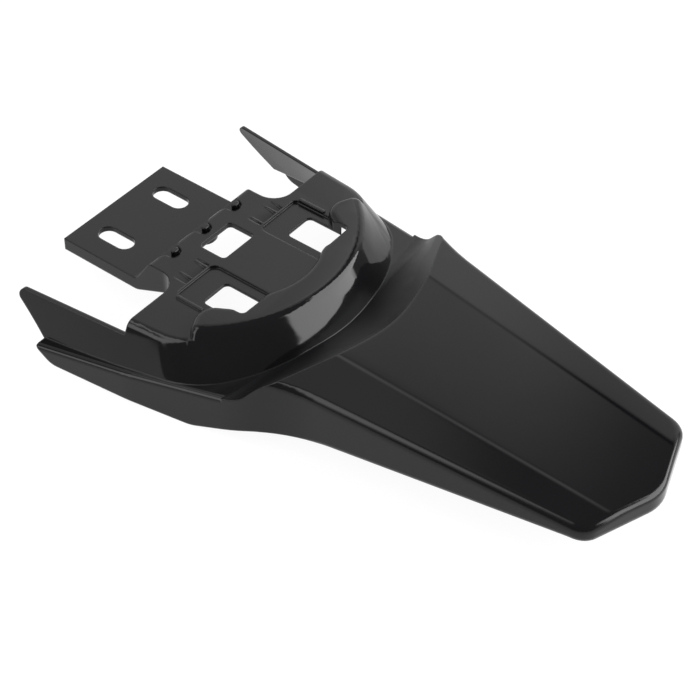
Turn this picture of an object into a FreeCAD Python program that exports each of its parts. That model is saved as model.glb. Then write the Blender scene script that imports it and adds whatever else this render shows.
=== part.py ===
import FreeCAD, Part
import math
import os

from FreeCAD import Vector

# Motorcycle rear mudguard, moulded in one piece. Millimetres.
# +X runs to the tail, +Y to the right-hand side, +Z up. The origin lies midway between the two
# slots on the top face of the mounting plate. The part is a mirror image about the XZ plane.

# Moulding
WALL = 3.0              # wall thickness
PLAY = 60.0             # how far cutting tools reach past the part
ALL_Y = (-3 * PLAY, 3 * PLAY)
ALL_Z = (-3 * PLAY, 3 * PLAY)
NEAR = 0.01             # places closer than this count as the same
SINK = 1.0              # how deep a raised detail is rooted in the wall below it
ROUND_END = 0.96        # radius of a rounded end as a share of its half width

# Mounting plate, its slots and the turned-down lips along its sides
PLATE_WIDTH = 80.0
PLATE_FRONT = -21.7
PLATE_LIP = 7.5
SLOT_PITCH = 44.0
SLOT_WIDTH = 11.0
SLOT_LENGTH = 23.0

# Joggle from the plate up to the deck
DECK_Z = 15.7
JOGGLE_FOOT = 30.5
JOGGLE_HEAD = 40.5
JOGGLE_RADIUS = 4.0
NECK_FLARE = 12.0       # plan radius from the neck out to the wings
NECK_SHOULDER = 21.6    # how far the neck widens on each side where it meets the wings

# Horseshoe: the raised rim round the deck and the wall that flares out from it to the ledge.
# The outline is stated at the rim's top and at the wall's foot: the hub and the radius of the rear
# arc, the radius of the corners, and how far the sides lie from the middle at the wings' front
RIM_Z = 21.2
RIM_HUB = 43.5
RIM_RADIUS = 84.3
RIM_CORNER = 25.0
RIM_SIDE = 76.4
FOOT_Z = -2.0
FOOT_HUB = 39.6
FOOT_RADIUS = 106.0
FOOT_CORNER = 50.0
FOOT_SIDE = 87.1
SIDE_FLARE = (FOOT_SIDE - RIM_SIDE) / (RIM_Z - FOOT_Z)
LOW_Z = -25.0           # the wall's solid reaches down to here, under the ledge
RIM_TOE = 5.0           # degrees the sides close towards the tail
RIM_EDGE = 6.0          # radius along the rim's outer edge
WALL_SLANT = 1.2        # the wall's thickness along the level, per mm of wall
WING_FRONT = 61.5
WING_EDGE = 5.5         # radius along the wings' outer edge
WING_LIP_Z = 6.0        # lower edge of the lip turned down along the wings' front
STEP_EDGE = 4.0         # radius along the step from the deck up to the rim

# Inner edge of the raised rim, plan points from the outside in; the last lies on the middle line
RIM_INNER = [(124.0, 130.0), (84.5, 51.0), (104.5, 39.0), (105.8, 22.5), (115.7, 0.0)]
RIM_INNER_RADII = [0, 11.0, 5.0, 15.0, 46.0]

# Shallow pockets in the deck, their ramped fronts, the ribs on the ramps and the outer beads
POCKET_X = 66.5
POCKET_INNER = 18.3
POCKET_OUTER = 49.0
POCKET_CORNERS = (5.0, 3.0)
POCKET_DEPTH = 1.4
POCKET_RAMP = 9.5
POCKET_RAMP_Y = (20.7, 39.4)
POCKET_LAND = 0.8      # level strip left between a ramp and its pocket
RIB_Y = (22.7, 34.4)
RIB_WIDTH = 1.2
BEAD_FRONT = 69.0
BEAD_REAR = 86.0
BEAD_WIDTH = 2.0
BEAD_HEIGHT = 1.0

# Windows through the deck: x and y of two corners, and the corner radius
MIDDLE_WINDOW = (51.4, 68.6, -12.4, 12.4, 2.5)
SIDE_WINDOW = (80.6, 107.8, 24.6, 43.7, 3.0)

# Notches in the deck's front edge, each with a peg standing in it. The mouth from the front
# back: x, how much wider than the notch on each side, and the corner radius
NOTCH_PITCH = 24.5
NOTCH_WIDTH = 9.0
NOTCH_MOUTH = [(30.5, 7.0, 0), (39.5, 5.0, 4.0), (42.5, 0.0, 2.0)]
NOTCH_END = 48.0
NOTCH_DEPTH = 2.6
PEG_X = 45.0
PEG_SIZE = (3.0, 4.6)
PEG_Z = 17.6

# Prongs: the horseshoe's wall carried forward past the wings as two free fins
PRONG_TIP = -6.5
PRONG_TOP = 8.4
PRONG_TIP_Z = 3.8
PRONG_LEAN = 2.5        # how far the tip leans back from its lowest point to its top
PRONG_ROUND = 3.4       # radius of the tip's two corners
PRONG_FOOT = 14.2
PRONG_WALL = 2.2
PRONG_X = -20.0         # station in front of the tips where the prongs' spread is stated
PRONG_SPREAD = 90.5     # half width over the prongs there, at their top
PRONG_FLARE = 0.187     # how much wider they stand below the top, per mm

# Ledge round the foot of the wall, a plane that rises to the tail
LEDGE_X = 14.6
LEDGE_Z = -13.0
LEDGE_SLOPE = 0.12
LEDGE_EDGE = 3.0        # radius along the ledge's outer edge

# Skirts and tail blade
BLADE_X = 178.0         # station where the blade's section is stated
BLADE_Z = 21.0
BLADE_FALL = 0.11       # drop of the blade per mm of length
CREASE_Y = 37.0
CREASE_CLOSE = 0.058    # how fast the two creases close to the tail
BEVEL = 0.15            # drop of the bevels per mm of width
BLADE_EDGE = 4.5        # radius of the blade's sides
TAIL_EDGE = 3.0         # radius along its tail
CREASE_RADIUS = 25.0

# Plan of the skirts: flank, hip, waist, then the blade's straight sides to a blunt pointed tail
SKIRT_FRONT = 14.0
FLANK_X = 70.0
FLANK_Y = 92.5
FLANK_TOE = 0.148
FLANK_RADIUS = 120.0
HIP_X = 133.0
HIP_Y = 79.0
WAIST_X = 158.0
WAIST_Y = 68.0
HIP_RADIUS = 100.0      # radius of the plan at hip and waist
TAIL_X = 316.0
TAIL_Y = 45.3
TAIL_APEX = 331.4
TAIL_CORNER = 12.0
TAIL_NOSE = 25.0

# Lower edge of the skirts and the tail in side view: x, z and corner radius, front to tail
HEM = [(SKIRT_FRONT, -14.0, 0), (23.0, -22.5, 10.0), (106.0, -26.5, 20.0), (140.0, -16.6, 40.0),
       (178.0, -10.8, 60.0), (309.0, -3.0, 20.0), (333.0, -6.4, 0)]

# Ramp from the ledge up to the blade, half of it from the outside in: y, x at its foot, and
# y, x, z at its head
RAMP_FOOT = [(120.0, 133.0), (79.0, 133.0), (55.0, 133.5), (28.0, 137.0), (0.0, 141.0)]
RAMP_HEAD = [(120.0, 131.0, 13.0), (79.0, 141.5, 14.2), (55.0, 149.8, 15.0), (28.0, 159.5, 16.3),
             (0.0, 166.0, 18.0)]
RAMP_BLEND = 18.0       # radius from the ledge into the ramp
RAMP_START = 124.0
RISER = 1.15            # run of the riser above the ramp's head per mm of height
RAMP_BACK = 0.75        # how far the ramp's inner face lies back and down, per mm of wall
RAMP_DOWN = 0.9


def rounded(points, radii, z=0.0):
    """Closed wire through plan points, each corner rounded by its own radius."""
    count = len(points)
    ends = []
    for i in range(count):
        here = Vector(points[i][0], points[i][1], z)
        before = Vector(points[i - 1][0], points[i - 1][1], z)
        after = Vector(points[(i + 1) % count][0], points[(i + 1) % count][1], z)
        to_before = (before - here).normalize()
        to_after = (after - here).normalize()
        if radii[i] <= 0:
            ends.append((here, None, here))
            continue
        half = to_before.getAngle(to_after) / 2
        reach = radii[i] / math.tan(half)
        bisector = (to_before + to_after).normalize()
        middle = here + bisector * (radii[i] / math.sin(half) - radii[i])
        ends.append((here + to_before * reach, middle, here + to_after * reach))
    edges = []
    for i in range(count):
        start, middle, end = ends[i]
        if middle is not None:
            edges.append(Part.Arc(start, middle, end).toShape())
        following = ends[(i + 1) % count][0]
        if end.distanceToPoint(following) > 1e-6:
            edges.append(Part.LineSegment(end, following).toShape())
    return Part.Wire(edges)


def prism(wire, low, high):
    """Upright solid over a plan wire drawn at z = 0."""
    face = Part.Face(wire)
    face.translate(Vector(0, 0, low))
    return face.extrude(Vector(0, 0, high - low))


def side_wire(points, radii, y):
    """Closed side-view wire (x, z) at one distance from the middle plane."""
    wire = rounded(points, radii)
    wire.rotate(Vector(), Vector(1, 0, 0), 90)
    wire.translate(Vector(0, y, 0))
    return wire


def side_prism(points, radii, half_width):
    """Solid with a side-view outline (x, z), the same across the whole width."""
    wire = side_wire(points, radii, half_width)
    return Part.Face(wire).extrude(Vector(0, -2 * half_width, 0))


def block(x0, x1, y0, y1, z0, z1):
    return Part.makeBox(x1 - x0, y1 - y0, z1 - z0, Vector(x0, y0, z0))


def mirrored(shape):
    return shape.mirror(Vector(), Vector(0, 1, 0))


def both(shape):
    return shape.fuse(mirrored(shape))


def horseshoe_wire(inset, z):
    """Outline of the horseshoe at one height: two sides, two corner arcs and the rear arc."""
    share = min(1.0, (RIM_Z - z) / (RIM_Z - FOOT_Z))
    toe = math.radians(RIM_TOE)
    inset -= SIDE_FLARE * max(0.0, FOOT_Z - z) * math.cos(toe)
    hub = Vector(RIM_HUB + share * (FOOT_HUB - RIM_HUB), 0, 0)
    radius = RIM_RADIUS + share * (FOOT_RADIUS - RIM_RADIUS)
    corner_radius = RIM_CORNER + share * (FOOT_CORNER - RIM_CORNER)
    side = Vector(WING_FRONT, RIM_SIDE + share * (FOOT_SIDE - RIM_SIDE), 0)
    along = Vector(math.cos(toe), -math.sin(toe), 0)
    inward = Vector(-math.sin(toe), -math.cos(toe), 0)
    start = side + inward * corner_radius - hub
    gap = radius - corner_radius
    half_b = start.dot(along)
    run = -half_b + math.sqrt(half_b ** 2 - start.dot(start) + gap ** 2)
    corner = hub + start + along * run
    spoke = (corner - hub).normalize()
    side_end = corner - inward * (corner_radius - inset)
    arc_end = hub + spoke * (radius - inset)
    bulge = (spoke - inward).normalize()
    arc_mid = corner + bulge * (corner_radius - inset)
    apex = hub + Vector(radius - inset, 0, 0)
    reach = (side_end.x + PLAY) / along.x
    side_start = side_end - along * reach
    flip = [Vector(p.x, -p.y, 0) for p in (side_start, side_end, arc_mid, arc_end)]
    wire = Part.Wire([
        Part.LineSegment(side_start, side_end).toShape(),
        Part.Arc(side_end, arc_mid, arc_end).toShape(),
        Part.Arc(arc_end, apex, flip[3]).toShape(),
        Part.Arc(flip[3], flip[2], flip[1]).toShape(),
        Part.LineSegment(flip[1], flip[0]).toShape(),
        Part.LineSegment(flip[0], side_start).toShape(),
    ])
    wire.translate(Vector(0, 0, z))
    return wire


def horseshoe(inset, top, edge_radius):
    """Flared solid under the rim, cut off level at the top, with its top edge rounded."""
    wires = [horseshoe_wire(WALL_SLANT * inset, z) for z in (LOW_Z, FOOT_Z, RIM_Z)]
    solid = Part.makeLoft(wires, True, True)
    if top < RIM_Z:
        solid = solid.common(block(-2 * PLAY, 3 * PLAY, *ALL_Y, LOW_Z, top))
    if edge_radius <= 0:
        return solid
    edges = [e for e in solid.Edges if e.BoundBox.ZMin > top - NEAR and e.BoundBox.XMax > NEAR - PLAY]
    return solid.makeFillet(edge_radius, edges)


def skirt_wire(inset, front):
    """Plan outline of the skirts and the blade, from the front ends round the tail."""
    half = [(front, FLANK_Y + FLANK_TOE * (FLANK_X - front)), (FLANK_X, FLANK_Y),
            (HIP_X, HIP_Y), (WAIST_X, WAIST_Y), (TAIL_X, TAIL_Y)]
    radii = [0, FLANK_RADIUS, HIP_RADIUS, HIP_RADIUS, TAIL_CORNER]
    points = half + [(TAIL_APEX, 0)] + [(x, -y) for x, y in reversed(half)]
    wire = rounded(points, radii + [TAIL_NOSE] + radii[::-1])
    if inset <= 0:
        return wire
    return wire.makeOffset2D(-inset)


def middle_of(edge):
    return edge.valueAt((edge.FirstParameter + edge.LastParameter) / 2)


def under(height):
    """Everything below a sloping plane given as z over x and y."""
    span = 2 * PLATE_WIDTH
    ends = (-PLAY, TAIL_APEX + PLAY)
    ring = [(ends[0], -span), (ends[1], -span), (ends[1], span), (ends[0], span)]
    corners = [Vector(x, y, height(x, y)) for x, y in ring]
    face = Part.Face(Part.makePolygon(corners + corners[:1]))
    return face.extrude(Vector(0, 0, -6 * PLAY))


def capped(wire, height, radius, front):
    """Upright solid over a plan wire, cut off by a plane, with its top edge rounded."""
    solid = prism(wire, -PLAY, 3 * PLAY).common(under(height))
    if radius <= 0:
        return solid
    edges = []
    for edge in solid.Edges:
        middle = middle_of(edge)
        on_top = abs(middle.z - height(middle.x, middle.y)) < NEAR
        if on_top and edge.BoundBox.XMax > front + NEAR:
            edges.append(edge)
    return solid.makeFillet(radius, edges)


def ledge_z(x):
    return LEDGE_Z + LEDGE_SLOPE * (x - LEDGE_X)


def front_space(inset):
    """The space over the ledge and in front of the ramp and riser that climb to the blade."""
    stations = [(y, foot, head, z) for (y, foot), (_, head, z) in zip(RAMP_FOOT, RAMP_HEAD)]
    stations += [(-y, foot, head, z) for y, foot, head, z in reversed(stations[:-1])]
    sections = []
    for y, foot, head, z in stations:
        top = head + RISER * (PLAY - z)
        ring = [(-PLAY, ledge_z(-PLAY)), (foot, ledge_z(foot)), (head, z), (top, PLAY),
                (top, 3 * PLAY), (-PLAY, 3 * PLAY)]
        sections.append(side_wire(ring, [0, RAMP_BLEND, 0, 0, 0, 0], y))
    space = Part.makeLoft(sections, True, False)
    space.translate(Vector(RAMP_BACK * inset, 0, -RAMP_DOWN * inset))
    return space


def lower_body(inset, front):
    """Ledge, shoulder ramp, skirts and blade as one solid."""
    wire = skirt_wire(inset, front)

    def panel(x, y):
        return BLADE_Z - BLADE_FALL * (x - BLADE_X) - inset

    def bevel_right(x, y):
        return panel(x, y) - BEVEL * (y - CREASE_Y + CREASE_CLOSE * (x - BLADE_X))

    def bevel_left(x, y):
        return bevel_right(x, -y)

    blade = capped(wire, panel, TAIL_EDGE - inset, front)
    roof = under(panel)
    for bevel in (bevel_right, bevel_left):
        blade = blade.common(capped(wire, bevel, BLADE_EDGE - inset, front))
        roof = roof.common(under(bevel))
    if inset <= 0:
        top_edges = [e for e in roof.Edges if middle_of(e).z > 0 and e.Length > TAIL_APEX]
        creases = [e for e in top_edges if abs(middle_of(e).y) < CREASE_Y + PLAY / 2]
        blade = blade.common(roof.makeFillet(CREASE_RADIUS, creases))
    climb = blade.cut(front_space(inset))
    climb = climb.common(block(RAMP_START, TAIL_APEX + PLAY, *ALL_Y, *ALL_Z))
    ledge = capped(wire, lambda x, y: ledge_z(x) - RAMP_DOWN * inset, LEDGE_EDGE - inset, front)
    ledge = ledge.common(blade).common(block(-2 * PLAY, RAMP_START, *ALL_Y, *ALL_Z))
    return climb.fuse(ledge)


def rim_zone(inset):
    """Plan region of the raised rim, behind its inner edge."""
    points = RIM_INNER + [(x, -y) for x, y in reversed(RIM_INNER[:-1])]
    radii = RIM_INNER_RADII + RIM_INNER_RADII[-2::-1]
    points = points + [(TAIL_X, -RIM_INNER[0][1]), (TAIL_X, RIM_INNER[0][1])]
    wire = rounded(points, radii + [0, 0])
    if inset > 0:
        wire = wire.makeOffset2D(-inset)
    return prism(wire, -PLAY, PLAY)


def pocket_space():
    """The two pockets in the deck and the ramped recesses in front of them."""
    floor = DECK_Z - POCKET_DEPTH
    plan = [(POCKET_X, POCKET_INNER), (BLADE_X, POCKET_INNER), (BLADE_X, POCKET_OUTER),
            (POCKET_X, POCKET_OUTER)]
    radii = [POCKET_CORNERS[0], 0, 0, POCKET_CORNERS[1]]
    pocket = prism(rounded(plan, radii), floor, PLAY).cut(rim_zone(0.0))
    front = POCKET_X - POCKET_RAMP
    rear = POCKET_X - POCKET_LAND
    side = [(front, DECK_Z), (rear, floor), (rear, PLAY), (front, PLAY)]
    ramp = side_prism(side, [0] * len(side), PLATE_WIDTH)
    ramp = ramp.common(block(front, rear, *POCKET_RAMP_Y, *ALL_Z))
    return both(pocket.fuse(ramp))


def step_edges(rim):
    """Top edges of the step along the rim's inner boundary."""
    found = []
    for edge in rim.Edges:
        middle = middle_of(edge)
        if middle.x > WING_FRONT and middle.z > DECK_Z + STEP_EDGE / 4:
            faces = rim.ancestorsOfType(edge, Part.Face)
            upright = [f for f in faces if abs(f.normalAt(*f.Surface.parameter(middle)).z) < NEAR]
            if len(upright) == 1:
                found.append(edge)
    return found


def horseshoe_body(inset):
    """Raised rim and wings over the horseshoe's wall."""
    deck = DECK_Z - inset
    zone = rim_zone(inset)
    below = block(WING_FRONT + inset, 3 * PLAY, *ALL_Y, LOW_Z, deck)
    above = block(WING_FRONT, 3 * PLAY, *ALL_Y, deck, PLAY)
    outside = inset <= 0
    rim = horseshoe(inset, RIM_Z - inset, RIM_EDGE if outside else 0).common(zone).common(above)
    if outside:
        rim = rim.makeFillet(STEP_EDGE, step_edges(rim))
    wings = horseshoe(inset, deck, WING_EDGE if outside else 0).common(below).cut(zone)
    under_rim = horseshoe(inset, deck, 0).common(below).common(zone)
    return under_rim.fuse([wings, rim])


def under_ledge(depth):
    """Everything further than a depth below the ledge."""
    return under(lambda x, y: ledge_z(x) - depth)


def prong_solid(inset):
    """Everything between the two prongs' outer faces, flush with the wall at the wings' front."""
    sections = []
    for z in (LOW_Z, DECK_Z):
        front_y = PRONG_SPREAD + PRONG_FLARE * (PRONG_TOP - z) - inset
        rear_y = RIM_SIDE + SIDE_FLARE * (RIM_Z - z) - inset
        ring = [(PRONG_X, front_y), (WING_FRONT, rear_y), (WING_FRONT, -rear_y), (PRONG_X, -front_y)]
        sections.append(rounded(ring, [0] * len(ring), z))
    return Part.makeLoft(sections, True, True)


def prongs():
    """The wall carried forward of the wings as two fins, each cut to a slanted point."""
    wall = prong_solid(0.0).cut(prong_solid(PRONG_WALL))
    rear = WING_FRONT
    side = [(PRONG_TIP, PRONG_TIP_Z), (PRONG_TIP + PRONG_LEAN, PRONG_TOP), (rear, PRONG_TOP),
            (rear, LEDGE_Z), (PRONG_FOOT, LEDGE_Z - SINK)]
    fins = wall.common(side_prism(side, [PRONG_ROUND, PRONG_ROUND, 0, 0, 0], 2 * PLATE_WIDTH))
    return fins.cut(under_ledge(WALL / 2))


def notch_space(inset):
    """Notches in the deck's front edge, widening to the front."""
    half = NOTCH_WIDTH / 2 + inset
    end = NOTCH_END + inset
    half_plan = [(x, half + wider) for x, wider, _ in NOTCH_MOUTH] + [(end, half)]
    plan = half_plan + [(x, -y) for x, y in reversed(half_plan)]
    radii = [radius for _, _, radius in NOTCH_MOUTH] + [ROUND_END * half]
    notch = prism(rounded(plan, radii + radii[::-1]), DECK_Z - NOTCH_DEPTH - inset, PLAY)
    spaces = notch
    for side in (-1, 1):
        other = notch.copy()
        other.translate(Vector(0, side * NOTCH_PITCH, 0))
        spaces = spaces.fuse(other)
    return spaces


def neck_body(inset, front):
    """Plate, joggle and neck, flaring out to the wings."""
    half = PLATE_WIDTH / 2 - inset
    rear = WING_FRONT + inset
    plan = [(front, half), (rear, half), (rear, half + NECK_SHOULDER),
            (rear + WALL, half + NECK_SHOULDER)]
    plan = plan + [(x, -y) for x, y in reversed(plan)]
    radii = [0, NECK_FLARE + inset, 0, 0]
    rise = math.atan2(DECK_Z, JOGGLE_HEAD - JOGGLE_FOOT)
    shift = inset * math.tan(rise / 2)
    side = [(front, -inset), (JOGGLE_FOOT + shift, -inset), (JOGGLE_HEAD + shift, DECK_Z - inset),
            (rear + WALL, DECK_Z - inset)]
    bends = [0, JOGGLE_RADIUS + inset, JOGGLE_RADIUS - inset, 0]
    if inset > 0:
        side += [(rear + WALL, -PLAY), (front, -PLAY)]
        bends += [0, 0]
    else:
        side += [(rear + WALL, WING_LIP_Z), (rear, WING_LIP_Z), (JOGGLE_FOOT, -PLATE_LIP),
                 (front, -PLATE_LIP)]
        bends += [0, 0, 2 * JOGGLE_RADIUS, 0]
    solid = prism(rounded(plan, radii + radii[::-1]), -PLAY, PLAY)
    solid = solid.common(side_prism(side, bends, PLATE_WIDTH))
    return solid.cut(notch_space(inset))


def window(x0, x1, y0, y1, radius):
    ring = [(x0, y0), (x1, y0), (x1, y1), (x0, y1)]
    return prism(rounded(ring, [radius] * len(ring)), -PLAY / 3, PLAY)


def slot(y):
    """Round-ended slot that runs along X."""
    radius = SLOT_WIDTH / 2
    reach = SLOT_LENGTH / 2 - radius
    corners = [Vector(sx * reach, y + sy * radius, 0) for sx, sy in ((-1, -1), (1, -1), (1, 1), (-1, 1))]
    wire = Part.Wire([
        Part.LineSegment(corners[0], corners[1]).toShape(),
        Part.Arc(corners[1], Vector(SLOT_LENGTH / 2, y, 0), corners[2]).toShape(),
        Part.LineSegment(corners[2], corners[3]).toShape(),
        Part.Arc(corners[3], Vector(-SLOT_LENGTH / 2, y, 0), corners[0]).toShape(),
    ])
    return prism(wire, -PLAY, PLAY)


def below_hem():
    """Space below the lower edge of the skirts and the tail."""
    points = [(-2 * PLAY, HEM[0][1])] + [(x, z) for x, z, r in HEM]
    points += [(TAIL_APEX + PLAY, HEM[-1][1]), (TAIL_APEX + PLAY, -4 * PLAY), (-2 * PLAY, -4 * PLAY)]
    radii = [0] + [r for x, z, r in HEM] + [0, 0, 0]
    return side_prism(points, radii, 2 * PLATE_WIDTH)


def stiffeners():
    """Ribs on the pocket ramps, beads along the pockets' outer edges and pegs in the notches."""
    pieces = []
    for y in RIB_Y:
        pieces.append(block(POCKET_X - POCKET_RAMP, POCKET_X, y - RIB_WIDTH / 2, y + RIB_WIDTH / 2,
                            DECK_Z - POCKET_DEPTH - SINK, DECK_Z))
    pieces.append(block(BEAD_FRONT, BEAD_REAR, POCKET_OUTER, POCKET_OUTER + BEAD_WIDTH,
                        DECK_Z - SINK, DECK_Z + BEAD_HEIGHT))
    pieces += [mirrored(piece) for piece in pieces]
    length, width = PEG_SIZE
    ring = [(PEG_X - length / 2, -width / 2), (PEG_X + length / 2, -width / 2),
            (PEG_X + length / 2, width / 2), (PEG_X - length / 2, width / 2)]
    peg = prism(rounded(ring, [ROUND_END * length / 2] * len(ring)), DECK_Z - NOTCH_DEPTH - SINK, PEG_Z)
    for row in (-1, 0, 1):
        other = peg.copy()
        other.translate(Vector(0, row * NOTCH_PITCH, 0))
        pieces.append(other)
    return pieces


outer = lower_body(0.0, SKIRT_FRONT).fuse(horseshoe_body(0.0).cut(under_ledge(WALL / 2)))
throat = horseshoe(WALL, WING_LIP_Z, 0).common(block(WING_FRONT, 3 * PLAY, *ALL_Y, *ALL_Z))
above = horseshoe_body(WALL).fuse([throat, prong_solid(PRONG_WALL)]).cut(under_ledge(2 * WALL))
hollow = lower_body(WALL, SKIRT_FRONT - PLAY / 2).fuse(above)
neck_hollow = neck_body(WALL, PLATE_FRONT - WALL)
neck = neck_body(0.0, PLATE_FRONT).cut(neck_hollow)
shell = outer.cut(hollow).cut(neck_hollow).cut(below_hem())
part = shell.fuse([neck, prongs()]).cut(pocket_space()).fuse(stiffeners())
openings = [window(*MIDDLE_WINDOW), both(window(*SIDE_WINDOW)), both(slot(SLOT_PITCH / 2))]
for opening in openings:
    part = part.cut(opening)
part = part.removeSplitter()
os.makedirs("parts", exist_ok=True)
part.exportStep("parts/mudguard.step")
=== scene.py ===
import bmesh
import bpy
import math
from mathutils import Matrix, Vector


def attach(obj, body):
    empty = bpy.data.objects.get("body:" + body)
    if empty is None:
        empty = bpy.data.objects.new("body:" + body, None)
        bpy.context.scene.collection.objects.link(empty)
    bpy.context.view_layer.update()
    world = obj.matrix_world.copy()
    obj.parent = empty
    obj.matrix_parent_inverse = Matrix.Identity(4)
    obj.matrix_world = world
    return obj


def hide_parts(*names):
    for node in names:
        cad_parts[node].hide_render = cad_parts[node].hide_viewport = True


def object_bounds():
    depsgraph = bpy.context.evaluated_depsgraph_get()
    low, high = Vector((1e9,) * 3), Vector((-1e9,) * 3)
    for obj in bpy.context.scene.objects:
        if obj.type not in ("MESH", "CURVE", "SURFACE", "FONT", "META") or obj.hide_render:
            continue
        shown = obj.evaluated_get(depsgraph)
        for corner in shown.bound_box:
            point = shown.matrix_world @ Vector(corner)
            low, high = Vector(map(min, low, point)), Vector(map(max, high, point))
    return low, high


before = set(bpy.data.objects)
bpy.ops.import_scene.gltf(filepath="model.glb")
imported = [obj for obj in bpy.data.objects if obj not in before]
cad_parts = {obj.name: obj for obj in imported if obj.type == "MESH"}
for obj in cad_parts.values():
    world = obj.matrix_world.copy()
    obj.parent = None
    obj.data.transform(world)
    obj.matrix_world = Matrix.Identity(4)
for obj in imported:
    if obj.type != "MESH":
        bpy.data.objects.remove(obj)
cad_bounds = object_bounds()

MM = 0.001

# The CAD faces are joined where their corners meet. Edges that turn by more than the crisp angle
# stay sharp, the fillets run smooth, and the large flats decide how the light runs.
WELD_GAP = 0.001 * MM
CRISP_ANGLE = math.radians(24)
FLATS_FIRST = 100

# Satin area: the level deck and mounting plate inside the rim, measured from the part's origin.
DECK_REAR = 113 * MM
DECK_HALF_WIDTH = 54 * MM
DECK_LEVEL = (0.90, 0.97)
FINISH_FADE = 2 * MM

# Dull area: the ramp behind the deck, which faces forward as it climbs to the blade.
RAMP_START = DECK_REAR + FINISH_FADE
RAMP_FACING = (-0.25, -0.08)

# Roughness of the three finishes; handling film dulls the first two in patches.
FILM_PATCH = 30 * MM
FILM_DETAIL = 3.0
FILM_BREAKUP = 0.6
FILM_RUN = (0.3, 0.75)
GLOSS_ROUGHNESS = (0.05, 0.09)
SATIN_ROUGHNESS = (0.20, 0.26)
RAMP_ROUGHNESS = 0.42

# Orange peel of the moulded skin, from crest to crest and in depth.
PEEL_PITCH = 3 * MM
PEEL_DETAIL = 1.0
PEEL_DEPTH = 0.02 * MM
PEEL_STRENGTH = 0.05

# Edges look rounder to the eye on the tail blade than on the deck.
BLADE_START = 160 * MM
BLADE_FADE = 15 * MM
DECK_EDGE = 1.1 * MM
BLADE_EDGE = 2.4 * MM
EDGE_SAMPLES = 8

# Two blacks, in patches where the melt flowed, and the plastic's own gloss.
DEEP_BLACK = "#0a0a0b"
SOFT_BLACK = "#101012"
FLOW_PATCH = 70 * MM
FLOW_DETAIL = 2.0
PLASTIC_IOR = 1.5
PLASTIC_SPECULAR = 0.28

# The floor shows its own white to the eye and keeps a faint shadow of the part.
FLOOR_SIZE = 12.0
FLOOR_CENTRE = (0.15, 0.0)
PAPER_WHITE = "#f4f4f4"
LIGHT_WHITE = "#ffffff"
FLOOR_WHITE = 0.88
FLOOR_GLOW = 1.06

# Camera solved on the photo by the part's mirror symmetry.
CAMERA_PLACE = (0.61258, -0.62075, 0.72367)
CAMERA_RIGHT = (0.78936, 0.61378, 0.01371)
CAMERA_UP = (-0.43040, 0.53731, 0.72530)
CAMERA_BACK = (0.43780, -0.57842, 0.68830)
CAMERA_LENS = 106.06
CAMERA_SENSOR = 36.0

# The room as the part sees it, in degrees. A wall has a bearing, from the tail's direction towards
# the part's right, a half width, a lowest and highest rise and a soft edge. It may lean or tilt.
# The gap takes brightness away between two walls, down to the room's blackest.
ROOM_DARK = 0.25
ROOM_BLACKEST = 0.02
ROOM_WALLS = {
    "ahead of the plate": dict(bearing=166, half=48, rise=(-20, 76), soft=5, glow=0.6),
    "panel over the deck": dict(bearing=145, half=20, rise=(20, 54), soft=6, glow=0.45),
    "beyond the blade": dict(bearing=115.5, half=10.5, rise=(-20, 51), soft=4, glow=1.1),
    "strip along the crease": dict(bearing=116, half=14, rise=(55.5, 61.5), soft=3, glow=1.3),
    "low, on the far side": dict(bearing=90, half=14, rise=(-20, 34), soft=6, glow=1.0),
    "near side": dict(bearing=-119, half=15, rise=(10, 53), soft=6, glow=3.4, lean=0.2),
    "over the near side": dict(bearing=-127, half=33, rise=(53, 80), soft=6, glow=3.0),
    "soft box at the tail": dict(bearing=39, half=33, rise=(2, 50), soft=1.5, glow=6.4, tilt=0.32),
    "gap": dict(bearing=104, half=9, rise=(38.5, 45.5), soft=2, glow=-0.5),
}
HALF_TURN = 180.0

# A soft start and end for a run of values, and the numbers of a mix's sockets, which share names.
EASED = {"interpolation_type": "SMOOTHSTEP"}
SHARE = 0
NUMBER_A, NUMBER_B = 2, 3
COLOUR_A, COLOUR_B, COLOUR_OUT = 6, 7, 2


def linear(hex_code):
    """An sRGB hex colour as linear RGBA."""
    channels = [int(hex_code[i:i + 2], 16) / 255 for i in (1, 3, 5)]
    return [c / 12.92 if c <= 0.04045 else ((c + 0.055) / 1.055) ** 2.4 for c in channels] + [1.0]


def add_node(tree, kind, *in_order, inputs=None, **settings):
    """A shader node with its settings. Inputs come in order, or by name or number; a node or
    socket among them is linked."""
    node = tree.nodes.new("ShaderNode" + kind)
    for name, value in settings.items():
        setattr(node, name, value)
    for place, value in [*enumerate(in_order), *(inputs or {}).items()]:
        if isinstance(value, bpy.types.Node):
            value = value.outputs[0]
        if isinstance(value, bpy.types.NodeSocket):
            tree.links.new(value, node.inputs[place])
        else:
            node.inputs[place].default_value = value
    return node


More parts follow.
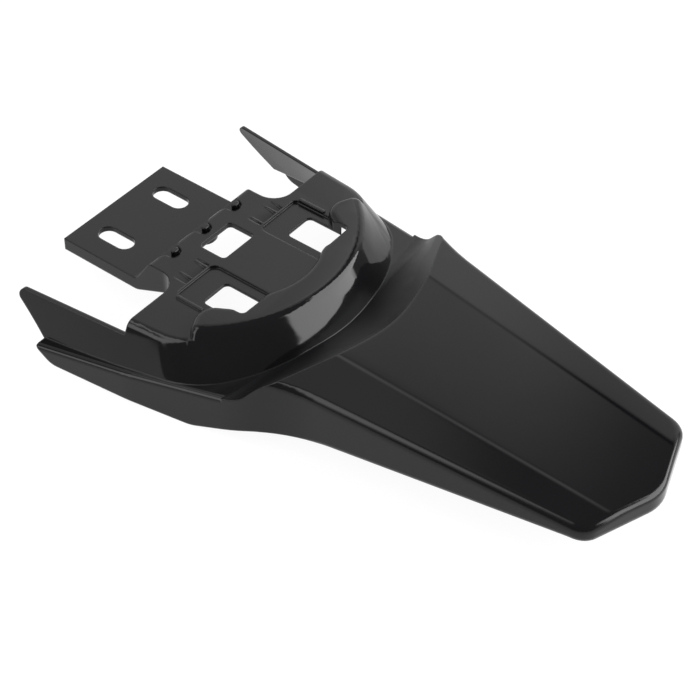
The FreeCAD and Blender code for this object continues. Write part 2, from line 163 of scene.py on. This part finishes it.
def moulded_plastic():
    """Gloss black polypropylene, injection moulded in a polished tool: a deep black that shows by
    its reflections."""
    material = bpy.data.materials.new("gloss_black_polypropylene_moulded")
    material.use_nodes = True
    tree = material.node_tree
    tree.nodes.clear()
    place = add_node(tree, "TexCoord").outputs["Object"]
    normal = add_node(tree, "NewGeometry").outputs["Normal"]
    along = add_node(tree, "SeparateXYZ", place).outputs
    facing = add_node(tree, "SeparateXYZ", normal).outputs
    across = add_node(tree, "Math", along["Y"], operation="ABSOLUTE")

    # The tool is left satin on the deck and plate, which breaks the reflection into an even grey.
    forward = add_node(tree, "MapRange", along["X"], DECK_REAR, DECK_REAR + FINISH_FADE,
                       1.0, 0.0, **EASED)
    inside = add_node(tree, "MapRange", across, DECK_HALF_WIDTH, DECK_HALF_WIDTH + FINISH_FADE,
                      1.0, 0.0, **EASED)
    level = add_node(tree, "MapRange", facing["Z"], *DECK_LEVEL, **EASED)
    deck = add_node(tree, "Math", forward, inside, operation="MULTIPLY")
    satin = add_node(tree, "Math", deck, level, operation="MULTIPLY")

    # The ramp that climbs to the blade is duller still, so it hardly mirrors the rim in front.
    climbing = add_node(tree, "MapRange", facing["X"], *RAMP_FACING, 1.0, 0.0, **EASED)
    behind = add_node(tree, "MapRange", along["X"], RAMP_START, RAMP_START + FINISH_FADE, **EASED)
    dull = add_node(tree, "Math", climbing, behind, operation="MULTIPLY")

    # Handling film: patches where the gloss is a little duller.
    film = add_node(tree, "TexNoise", inputs={
        "Vector": place, "Scale": 1 / FILM_PATCH, "Detail": FILM_DETAIL, "Roughness": FILM_BREAKUP})
    gloss = add_node(tree, "MapRange", film, *FILM_RUN, *GLOSS_ROUGHNESS, **EASED)
    matt = add_node(tree, "MapRange", film, *FILM_RUN, *SATIN_ROUGHNESS, **EASED)
    roughness = add_node(tree, "Mix", data_type="FLOAT", inputs={
        SHARE: satin, NUMBER_A: gloss, NUMBER_B: matt})
    roughness = add_node(tree, "Mix", data_type="FLOAT", inputs={
        SHARE: dull, NUMBER_A: roughness, NUMBER_B: RAMP_ROUGHNESS})

    # Faint orange peel of the moulded skin, on rounded edges.
    peel = add_node(tree, "TexNoise", inputs={
        "Vector": place, "Scale": 1 / PEEL_PITCH, "Detail": PEEL_DETAIL})
    rounding = add_node(tree, "MapRange", along["X"], BLADE_START, BLADE_START + BLADE_FADE,
                        DECK_EDGE, BLADE_EDGE, **EASED)
    edges = add_node(tree, "Bevel", rounding, samples=EDGE_SAMPLES)
    skin = add_node(tree, "Bump", inputs={
        "Strength": PEEL_STRENGTH, "Distance": PEEL_DEPTH, "Height": peel, "Normal": edges})

    # The black varies slightly where the melt flowed.
    flow = add_node(tree, "TexNoise", inputs={
        "Vector": place, "Scale": 1 / FLOW_PATCH, "Detail": FLOW_DETAIL})
    black = add_node(tree, "Mix", data_type="RGBA", inputs={
        SHARE: flow, COLOUR_A: linear(DEEP_BLACK), COLOUR_B: linear(SOFT_BLACK)})
    plastic = add_node(tree, "BsdfPrincipled", inputs={
        "Base Color": black.outputs[COLOUR_OUT], "Roughness": roughness, "Normal": skin,
        "IOR": PLASTIC_IOR, "Specular IOR Level": PLASTIC_SPECULAR})
    add_node(tree, "OutputMaterial", plastic)
    return material


def welded_skin(node):
    """The CAD node's own faces, joined so that light runs smoothly over the fillets."""
    faces = bmesh.new()
    faces.from_mesh(node.data)
    bmesh.ops.remove_doubles(faces, verts=faces.verts, dist=WELD_GAP)
    for face in faces.faces:
        face.smooth = True
    for edge in faces.edges:
        edge.smooth = edge.is_manifold and edge.calc_face_angle() < CRISP_ANGLE
    mesh = bpy.data.meshes.new("mudguard_skin")
    faces.to_mesh(mesh)
    faces.free()
    piece = bpy.data.objects.new("mudguard_skin", mesh)
    bpy.context.scene.collection.objects.link(piece)
    weighted = piece.modifiers.new("even_flats", "WEIGHTED_NORMAL")
    weighted.keep_sharp = True
    weighted.mode = "FACE_AREA"
    weighted.weight = FLATS_FIRST
    return piece


def white_floor(height):
    """Sweep of matt white paper: an even white to the eye, with a faint shadow under the part."""
    material = bpy.data.materials.new("white_paper_sweep")
    material.use_nodes = True
    tree = material.node_tree
    tree.nodes.clear()
    paper = add_node(tree, "BsdfDiffuse", linear(PAPER_WHITE))
    glow = add_node(tree, "Emission", linear(LIGHT_WHITE), FLOOR_GLOW)
    ray = add_node(tree, "LightPath").outputs
    seen = add_node(tree, "Math", ray["Is Camera Ray"], ray["Is Glossy Ray"], operation="ADD")
    seen = add_node(tree, "Math", seen, ray["Is Transmission Ray"], operation="ADD")
    share = add_node(tree, "Math", seen, FLOOR_WHITE, operation="MULTIPLY")
    add_node(tree, "OutputMaterial", add_node(tree, "MixShader", share, paper, glow))
    bpy.ops.mesh.primitive_plane_add(size=FLOOR_SIZE, location=(*FLOOR_CENTRE, height))
    floor = bpy.context.object
    floor.name = "floor"
    floor.data.materials.append(material)


def wall_glow(tree, toward, upward, bearing, half, rise, soft, glow, lean=0.0, tilt=0.0):
    """Brightness that one wall of the room gives in a direction, soft at the wall's edges."""
    turn = add_node(tree, "Math", toward, bearing, operation="SUBTRACT")
    turn = add_node(tree, "Math", turn, HALF_TURN, -HALF_TURN, operation="WRAP")
    lifted = add_node(tree, "Math", turn, -tilt, upward, operation="MULTIPLY_ADD")
    leant = add_node(tree, "Math", upward, -lean, turn, operation="MULTIPLY_ADD")
    aside = add_node(tree, "Math", leant, operation="ABSOLUTE")
    low, high = rise
    width = add_node(tree, "MapRange", aside, half - soft, half + soft, glow, 0.0, **EASED)
    foot = add_node(tree, "MapRange", lifted, low - soft, low + soft, **EASED)
    head = add_node(tree, "MapRange", lifted, high - soft, high + soft, 1.0, 0.0, **EASED)
    wall = add_node(tree, "Math", width, foot, operation="MULTIPLY")
    return add_node(tree, "Math", wall, head, operation="MULTIPLY")


def studio_room():
    """Dark overhead and on the viewer's side, with pale walls and one soft box at the tail."""
    world = bpy.data.worlds.new("studio_room")
    bpy.context.scene.world = world
    world.use_nodes = True
    tree = world.node_tree
    tree.nodes.clear()
    direction = add_node(tree, "TexCoord").outputs["Generated"]
    xyz = add_node(tree, "SeparateXYZ", direction).outputs
    toward = add_node(tree, "Math", xyz["Y"], xyz["X"], operation="ARCTAN2")
    toward = add_node(tree, "Math", toward, operation="DEGREES")
    upward = add_node(tree, "Math", xyz["Z"], operation="ARCSINE")
    upward = add_node(tree, "Math", upward, operation="DEGREES")
    light = ROOM_DARK
    for wall in ROOM_WALLS.values():
        glow = wall_glow(tree, toward, upward, **wall)
        light = add_node(tree, "Math", glow, light, operation="ADD")
    light = add_node(tree, "Math", light, ROOM_BLACKEST, operation="MAXIMUM")
    sky = add_node(tree, "Background", linear(LIGHT_WHITE), light)
    add_node(tree, "OutputWorld", sky)


guard = welded_skin(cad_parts["mudguard"])
guard.data.materials.append(moulded_plastic())
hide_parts("mudguard")
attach(guard, "root")

white_floor(cad_bounds[0].z)
studio_room()

camera = bpy.data.objects.new("camera", bpy.data.cameras.new("camera"))
bpy.context.scene.collection.objects.link(camera)
axes = Matrix((CAMERA_RIGHT, CAMERA_UP, CAMERA_BACK)).transposed()
camera.matrix_world = Matrix.Translation(CAMERA_PLACE) @ axes.to_4x4()
camera.data.lens = CAMERA_LENS
camera.data.sensor_width = CAMERA_SENSOR
bpy.context.scene.camera = camera
bpy.context.scene.view_settings.view_transform = "Standard"
